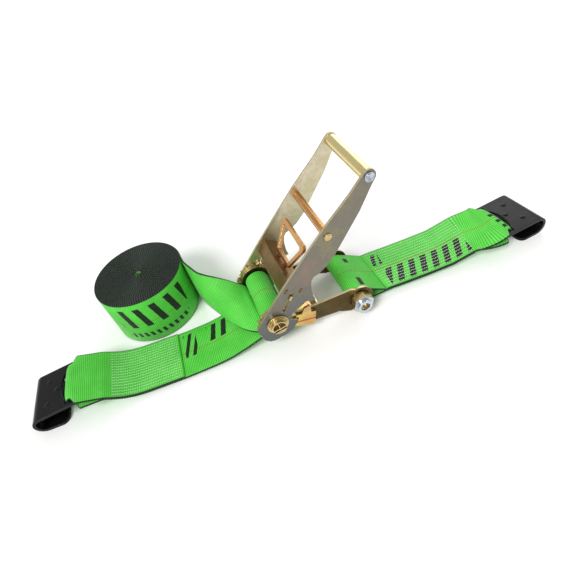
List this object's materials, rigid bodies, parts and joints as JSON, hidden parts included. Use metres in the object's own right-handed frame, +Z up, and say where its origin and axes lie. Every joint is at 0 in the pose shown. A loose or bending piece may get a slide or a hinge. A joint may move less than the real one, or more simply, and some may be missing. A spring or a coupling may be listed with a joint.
{
  "type": "ratchet tie down",
  "caption": "Long-handled ratchet tie down for wide green webbing: flat hooks, a short fixed strap and a long strap with its spare end in a roll.",
  "frame": {"origin": "middle of the overall box, on the ground", "axes": "+X along the straps from the long strap's hook to the short strap's hook, +Y towards the roll, +Z up"},
  "size_m": [0.942, 0.3064, 0.2697],
  "materials": {
    "webbing": "woven polyester",
    "hook_paint": "satin black",
    "zinc_arm": "yellow zinc, worn",
    "zinc_frame": "yellow zinc, dark",
    "zinc_copper": "yellow zinc, copper tone",
    "zinc_gold": "yellow zinc, bright",
    "bright_steel": "bright zinc"
  },
  "bodies": {
    "frame": {"frame_plate_near": "zinc_frame", "frame_plate_far": "zinc_frame", "frame_stay_plate": "zinc_frame", "anchor_bolt": "zinc_gold", "anchor_sleeve": "zinc_gold", "anchor_nut": "zinc_gold", "anchor_washers": "zinc_gold", "lock_pawl_spring": "bright_steel", "short_strap": "webbing", "long_strap": "webbing", "strap_tail": "webbing", "strap_roll": "webbing"},
    "lock_pawl": {"lock_pawl": "zinc_gold"},
    "mandrel": {"mandrel_bar_upper": "zinc_gold", "mandrel_bar_lower": "zinc_gold", "ratchet_wheel_near": "zinc_gold", "ratchet_wheel_far": "zinc_gold", "end_collars": "zinc_gold", "cotter_pins": "zinc_gold", "wound_webbing": "webbing"},
    "handle": {"handle_arm_near": "zinc_arm", "handle_arm_far": "zinc_arm", "grip_tube": "zinc_copper", "grip_rivet_bar": "bright_steel", "cross_tube": "zinc_copper", "cross_rivet_bar": "zinc_gold", "pawl_bracket": "zinc_gold", "drive_pawl_spring": "bright_steel"},
    "drive_pawl": {"drive_pawl": "zinc_gold", "pull_bail": "zinc_copper"},
    "hook_left": {"flat_hook_left": "hook_paint"},
    "hook_right": {"flat_hook_right": "hook_paint"}
  },
  "joints": [
    {"name": "handle_swing", "type": "hinge", "parent": "frame", "child": "handle", "pos_m": [-0.0405, -0.07575, 0.06], "axis": [0, -1, 0], "range_deg": [-45, 135], "deforming": ["strap_tail"]},
    {"name": "mandrel_spin", "type": "hinge", "parent": "frame", "child": "mandrel", "pos_m": [-0.0405, -0.07575, 0.06], "axis": [0, -1, 0], "continuous": true},
    {"name": "drive_pawl_slide", "type": "slide", "parent": "handle", "child": "drive_pawl", "axis": [0.5866, 0, 0.8098], "range_m": [-0.0042, 0.005], "stiffness_N_per_m": 3000, "deforming": ["drive_pawl_spring"]},
    {"name": "lock_pawl_slide", "type": "slide", "parent": "frame", "child": "lock_pawl", "axis": [0.9727, 0, -0.2321], "range_m": [-0.0042, 0.005], "stiffness_N_per_m": 3000, "deforming": ["lock_pawl_spring"]},
    {"name": "hook_left_swing", "type": "hinge", "parent": "frame", "child": "hook_left", "pos_m": [-0.3935, -0.06275, 0.04001], "axis": [0.0534, 0.9986, 0], "range_deg": [-30, 60]},
    {"name": "hook_right_swing", "type": "hinge", "parent": "frame", "child": "hook_right", "pos_m": [0.3899, -0.09825, 0.0327], "axis": [0.0872, -0.9962, 0], "range_deg": [-30, 60]}
  ]
}
